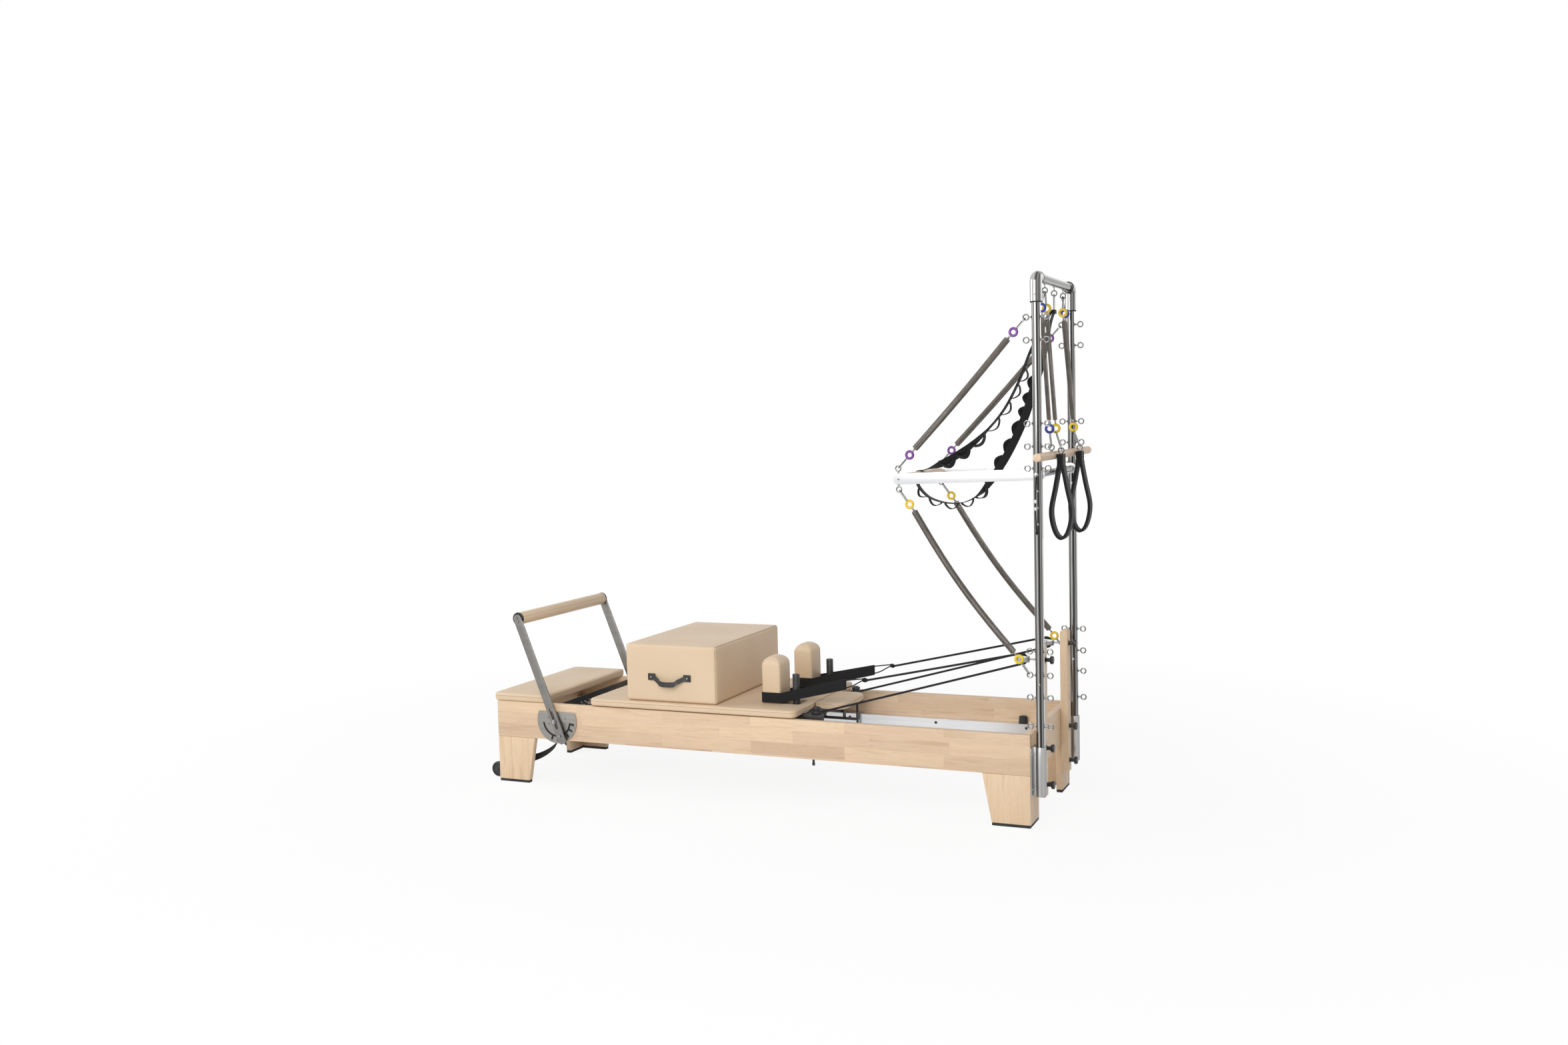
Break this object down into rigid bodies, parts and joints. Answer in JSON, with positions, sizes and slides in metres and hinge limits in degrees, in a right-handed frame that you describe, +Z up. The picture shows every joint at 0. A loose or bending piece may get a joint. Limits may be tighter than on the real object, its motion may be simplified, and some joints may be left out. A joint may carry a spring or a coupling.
{
  "type": "pilates reformer with tower",
  "caption": "Wooden pilates reformer with a sliding padded carriage, foot bar, sitting box, and a steel tower carrying springs, a push-through bar and a roll-down bar.",
  "frame": {"origin": "on the floor, under the middle of the bounding box", "axes": "+X from the foot end towards the tower, +Y from the near side (with the box handle) towards the far side, +Z up"},
  "size_m": [2.7238, 0.96, 2.2],
  "materials": {
    "maple": "satin lacquer",
    "beech": "satin lacquer",
    "beige_leather": "soft grain",
    "black_rubber": "matte",
    "black_plastic": "matte",
    "black_webbing": "woven",
    "black_steel": "satin powder coat",
    "brushed_steel": "brushed",
    "polished_steel": "polished",
    "aluminium": "satin anodised",
    "spring_steel": "bare wire",
    "yellow_paint": "gloss coating",
    "blue_paint": "gloss coating",
    "purple_paint": "gloss coating"
  },
  "bodies": {
    "frame": {"side_rail_near": "maple", "side_rail_far": "maple", "end_frame_foot": "maple", "end_frame_tower": "maple", "track_near": "aluminium", "track_far": "aluminium", "spring_bar": "black_steel", "platform_pad": "beige_leather", "gear_plate_near": "brushed_steel", "gear_plate_far": "brushed_steel", "riser_near": "maple", "riser_far": "maple", "sleeve_near": "aluminium", "sleeve_far": "aluminium", "post_near": "polished_steel", "post_far": "polished_steel", "top_bar": "polished_steel", "carry_strap": "black_webbing", "pin_lanyard": "black_webbing", "rope_near": "black_webbing", "rope_far": "black_webbing", "carriage_springs": "spring_steel", "loop_strap": "black_webbing", "long_spring_near_high": "purple_paint", "long_spring_near_low": "yellow_paint", "long_spring_far_high": "purple_paint", "long_spring_far_low": "yellow_paint"},
    "foot_bar_pivots": {"pivot_bolt_near": "polished_steel", "pivot_bolt_far": "polished_steel"},
    "foot_bar": {"foot_bar_arm_near": "brushed_steel", "foot_bar_arm_far": "brushed_steel", "foot_bar_roller": "beige_leather"},
    "carriage": {"carriage_bed": "beige_leather", "carriage_frame": "black_steel", "hand_strap_near": "black_webbing", "hand_strap_far": "black_webbing"},
    "headrest": {"headrest_pad": "beige_leather"},
    "rest_near": {"shoulder_rest_near": "beige_leather"},
    "rest_far": {"shoulder_rest_far": "beige_leather"},
    "box": {"sitting_box": "beige_leather", "box_handle": "black_webbing"},
    "push_bar": {"push_bar_arm_near": "aluminium", "push_bar_arm_far": "aluminium", "push_bar_tube": "aluminium", "push_bar_grip": "beige_leather"},
    "roll_down": {"roll_down_bar": "beech", "short_spring_near_blue": "blue_paint", "short_spring_near_yellow": "yellow_paint", "short_spring_far_blue": "blue_paint", "short_spring_far_yellow": "yellow_paint"},
    "loop_near": {"foot_loop_near": "black_webbing"},
    "loop_far": {"foot_loop_far": "black_webbing"},
    "transport_near": {"transport_wheel_near": "black_plastic"},
    "transport_far": {"transport_wheel_far": "black_plastic"},
    "pulley_near": {"sheave_near": "black_plastic"},
    "pulley_far": {"sheave_far": "black_plastic"},
    "roller_near_foot": {"wheel_near_foot": "black_rubber"},
    "roller_near_tower": {"wheel_near_tower": "black_rubber"},
    "roller_far_foot": {"wheel_far_foot": "black_rubber"},
    "roller_far_tower": {"wheel_far_tower": "black_rubber"}
  },
  "joints": [
    {"name": "foot_bar_turn", "type": "hinge", "parent": "frame", "child": "foot_bar_pivots", "pos_m": [-0.9669, 0, 0.3005], "axis": [0, -1, 0], "range_deg": [-40, 60]},
    {"name": "foot_bar_lift", "type": "slide", "parent": "foot_bar_pivots", "child": "foot_bar", "axis": [-0.3633, 0, 0.9317], "range_m": [-0.0185, 0]},
    {"name": "carriage_travel", "type": "slide", "parent": "frame", "child": "carriage", "axis": [1, 0, 0], "range_m": [0, 0.815], "stiffness_N_per_m": 500, "springref_m": -0.1, "deforming": ["carriage_springs", "rope_near", "rope_far", "hand_strap_near", "hand_strap_far"]},
    {"name": "roller_near_foot_turn", "type": "hinge", "parent": "carriage", "child": "roller_near_foot", "pos_m": [-0.6884, -0.3142, 0.2963], "axis": [0, 1, 0], "continuous": true},
    {"name": "roller_near_tower_turn", "type": "hinge", "parent": "carriage", "child": "roller_near_tower", "pos_m": [0.1616, -0.3142, 0.2963], "axis": [0, 1, 0], "continuous": true},
    {"name": "roller_far_foot_turn", "type": "hinge", "parent": "carriage", "child": "roller_far_foot", "pos_m": [-0.6884, 0.3142, 0.2963], "axis": [0, 1, 0], "continuous": true},
    {"name": "roller_far_tower_turn", "type": "hinge", "parent": "carriage", "child": "roller_far_tower", "pos_m": [0.1616, 0.3142, 0.2963], "axis": [0, 1, 0], "continuous": true},
    {"name": "headrest_tilt", "type": "hinge", "parent": "carriage", "child": "headrest", "pos_m": [0.2101, 0, 0.4095], "axis": [0, -1, 0], "range_deg": [0, 35]},
    {"name": "rest_near_lift", "type": "slide", "parent": "carriage", "child": "rest_near", "axis": [0, 0, 1], "range_m": [0, 0.08]},
    {"name": "rest_far_lift", "type": "slide", "parent": "carriage", "child": "rest_far", "axis": [0, 0, 1], "range_m": [0, 0.08]},
    {"name": "box_lift", "type": "slide", "parent": "carriage", "child": "box", "axis": [0, 0, 1], "range_m": [0, 0.3]},
    {"name": "push_bar_swing", "type": "hinge", "parent": "frame", "child": "push_bar", "pos_m": [1.2491, 0, 1.4065], "axis": [0, -1, 0], "range_deg": [-65, 65], "stiffness_Nm_per_rad": 120, "springref_deg": -3.44, "deforming": ["long_spring_near_high", "long_spring_near_low", "long_spring_far_high", "long_spring_far_low", "loop_strap"]},
    {"name": "roll_down_swing", "type": "hinge", "parent": "frame", "child": "roll_down", "pos_m": [1.2491, 0, 2.1325], "axis": [0, -1, 0], "range_deg": [0, 60]},
    {"name": "loop_near_swing", "type": "hinge", "parent": "roll_down", "child": "loop_near", "pos_m": [1.3159, -0.2, 1.497], "axis": [0, -1, 0], "range_deg": [-5, 45]},
    {"name": "loop_far_swing", "type": "hinge", "parent": "roll_down", "child": "loop_far", "pos_m": [1.3159, 0.16, 1.497], "axis": [0, -1, 0], "range_deg": [-5, 45]},
    {"name": "transport_near_turn", "type": "hinge", "parent": "frame", "child": "transport_near", "pos_m": [-1.3259, -0.3125, 0.041], "axis": [0, 1, 0], "continuous": true},
    {"name": "transport_far_turn", "type": "hinge", "parent": "frame", "child": "transport_far", "pos_m": [-1.3259, 0.3125, 0.041], "axis": [0, 1, 0], "continuous": true},
    {"name": "pulley_near_turn", "type": "hinge", "parent": "frame", "child": "pulley_near", "pos_m": [1.1516, -0.22, 0.657], "axis": [0, 1, 0], "continuous": true},
    {"name": "pulley_far_turn", "type": "hinge", "parent": "frame", "child": "pulley_far", "pos_m": [1.1516, 0.22, 0.657], "axis": [0, 1, 0], "continuous": true}
  ],
  "couplings": [
    {"joint": "roller_near_foot_turn", "follows": "carriage_travel", "rad_per_m": 45.455},
    {"joint": "roller_near_tower_turn", "follows": "carriage_travel", "rad_per_m": 45.455},
    {"joint": "roller_far_foot_turn", "follows": "carriage_travel", "rad_per_m": 45.455},
    {"joint": "roller_far_tower_turn", "follows": "carriage_travel", "rad_per_m": 45.455}
  ]
}
